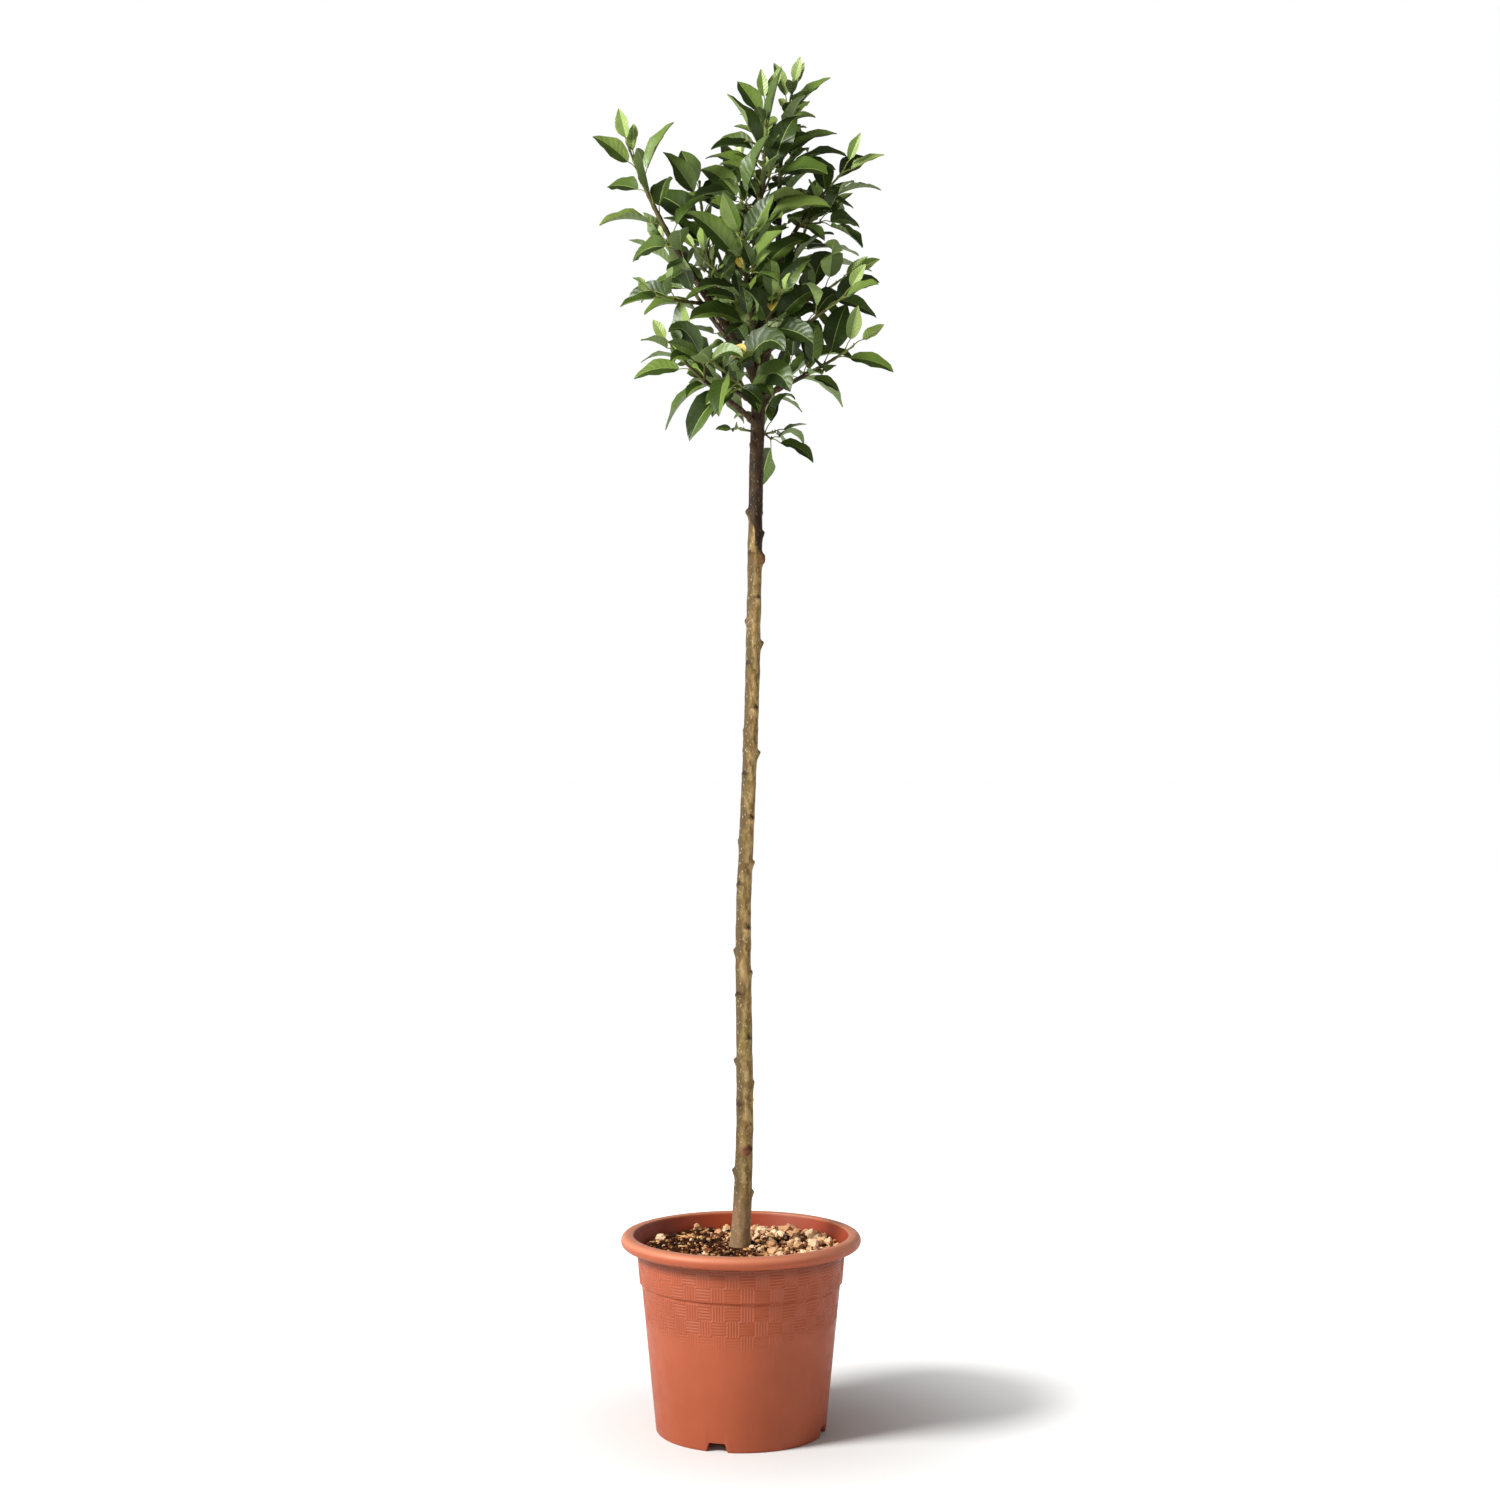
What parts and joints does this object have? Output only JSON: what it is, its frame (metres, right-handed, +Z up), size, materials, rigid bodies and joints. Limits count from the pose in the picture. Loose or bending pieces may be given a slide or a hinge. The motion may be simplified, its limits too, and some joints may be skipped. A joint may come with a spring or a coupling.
{
  "type": "potted apple tree",
  "caption": "Young apple tree with one slender knobbly trunk and a small open leafy crown, standing in soil in a round terracotta-coloured plastic pot with a rolled rim.",
  "frame": {"origin": "middle of the pot's flat underside, on the ground the pot stands on", "axes": "+Z up along the trunk, -Y towards the front of the pot, +X to the right seen from the front"},
  "size_m": [0.3948, 0.3592, 1.8352],
  "materials": {
    "pot": "satin",
    "soil": "matte",
    "bark": "matte",
    "bough": "matte",
    "foliage": "satin"
  },
  "bodies": {
    "root": {"bough_back": "bough", "bough_back_left": "bough", "bough_back_right": "bough", "bough_left": "bough", "bough_left_inner": "bough", "bough_low_back": "bough", "bough_low_back_left": "bough", "bough_low_left": "bough", "bough_low_right": "bough", "bough_mid_right": "bough", "bough_right": "bough", "bough_right_side": "bough", "foliage_back": "foliage", "foliage_back_left": "foliage", "foliage_back_right": "foliage", "foliage_front": "foliage", "foliage_inner_back": "foliage", "foliage_inner_front": "foliage", "foliage_inner_left": "foliage", "foliage_inner_right": "foliage", "foliage_left": "foliage", "foliage_left_inner": "foliage", "foliage_low_back": "foliage", "foliage_low_back_left": "foliage", "foliage_low_front": "foliage", "foliage_low_left": "foliage", "foliage_low_right": "foliage", "foliage_mid_left": "foliage", "foliage_mid_right": "foliage", "foliage_right": "foliage", "foliage_right_side": "foliage", "foliage_spur_left": "foliage", "foliage_spur_right": "foliage", "foliage_top": "foliage", "pot": "pot", "soil": "soil", "trunk": "bark"}
  },
  "joints": []
}
